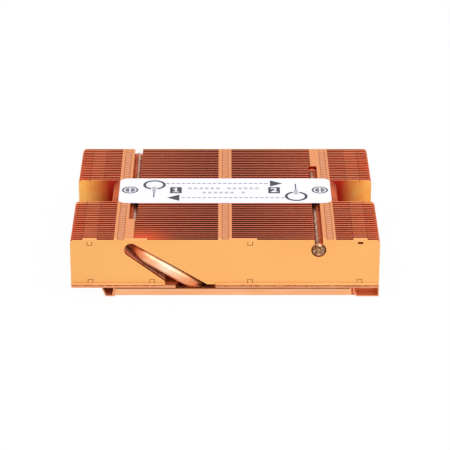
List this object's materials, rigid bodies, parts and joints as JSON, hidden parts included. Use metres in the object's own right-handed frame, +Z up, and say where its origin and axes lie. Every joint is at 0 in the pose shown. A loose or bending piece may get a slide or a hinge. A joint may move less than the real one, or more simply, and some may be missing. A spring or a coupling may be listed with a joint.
{
  "type": "passive server cpu heatsink",
  "caption": "Low copper heatsink: stacked fins with end notches, two bent heat pipes, a thick base, a label across the top and sprung captive screws.",
  "frame": {"origin": "under the middle of the part, on the underside of the base block, where it rests", "axes": "+X along the fins to the right as seen from the front sheet, +Y from the front sheet to the rear sheet, +Z up through the fins"},
  "size_m": [0.117, 0.09, 0.0232],
  "materials": {
    "fin_copper": "bright rolled copper sheet",
    "plate_copper": "satin pressed copper sheet",
    "block_copper": "milled copper, faint tool marks",
    "pipe_copper": "drawn copper tube with tin-grey solder stains",
    "screw_steel": "turned nickel-plated steel",
    "spring_steel": "drawn spring wire",
    "label_film": "matt white printed film"
  },
  "bodies": {
    "heatsink": {"fin_01": "fin_copper", "fin_02": "fin_copper", "fin_03": "fin_copper", "fin_04": "fin_copper", "fin_05": "fin_copper", "fin_06": "fin_copper", "fin_07": "fin_copper", "fin_08": "fin_copper", "fin_09": "fin_copper", "fin_10": "fin_copper", "fin_11": "fin_copper", "fin_12": "fin_copper", "fin_13": "fin_copper", "fin_14": "fin_copper", "fin_15": "fin_copper", "fin_16": "fin_copper", "fin_17": "fin_copper", "fin_18": "fin_copper", "fin_19": "fin_copper", "fin_20": "fin_copper", "fin_21": "fin_copper", "fin_22": "fin_copper", "fin_23": "fin_copper", "fin_24": "fin_copper", "fin_25": "fin_copper", "fin_26": "fin_copper", "fin_27": "fin_copper", "fin_28": "fin_copper", "fin_29": "fin_copper", "fin_30": "fin_copper", "fin_31": "fin_copper", "fin_32": "fin_copper", "fin_33": "fin_copper", "fin_34": "fin_copper", "fin_35": "fin_copper", "fin_36": "fin_copper", "fin_37": "fin_copper", "fin_38": "fin_copper", "fin_39": "fin_copper", "fin_40": "fin_copper", "fin_41": "fin_copper", "fin_42": "fin_copper", "fin_43": "fin_copper", "fin_44": "fin_copper", "fin_45": "fin_copper", "fin_46": "fin_copper", "fin_47": "fin_copper", "fin_48": "fin_copper", "fin_49": "fin_copper", "fin_50": "fin_copper", "fin_51": "fin_copper", "mounting_plate": "plate_copper", "base_block": "block_copper", "left_heat_pipe": "pipe_copper", "right_heat_pipe": "pipe_copper", "label": "label_film"},
    "left_spring": {"left_spring": "spring_steel"},
    "left_screw": {"left_screw": "screw_steel"},
    "right_spring": {"right_spring": "spring_steel"},
    "right_screw": {"right_screw": "screw_steel"}
  },
  "joints": [
    {"name": "left_screw_turn", "type": "hinge", "parent": "heatsink", "child": "left_spring", "pos_m": [-0.05207, 0.00175, 0.0046], "axis": [0, 0, 1], "continuous": true},
    {"name": "left_screw_press", "type": "slide", "parent": "left_spring", "child": "left_screw", "axis": [0, 0, -1], "range_m": [0, 0.003], "stiffness_N_per_m": 3000, "springref_m": -0.0025, "deforming": ["left_spring"]},
    {"name": "right_screw_turn", "type": "hinge", "parent": "heatsink", "child": "right_spring", "pos_m": [0.05207, 0.00175, 0.0046], "axis": [0, 0, 1], "continuous": true},
    {"name": "right_screw_press", "type": "slide", "parent": "right_spring", "child": "right_screw", "axis": [0, 0, -1], "range_m": [0, 0.003], "stiffness_N_per_m": 3000, "springref_m": -0.0025, "deforming": ["right_spring"]}
  ]
}
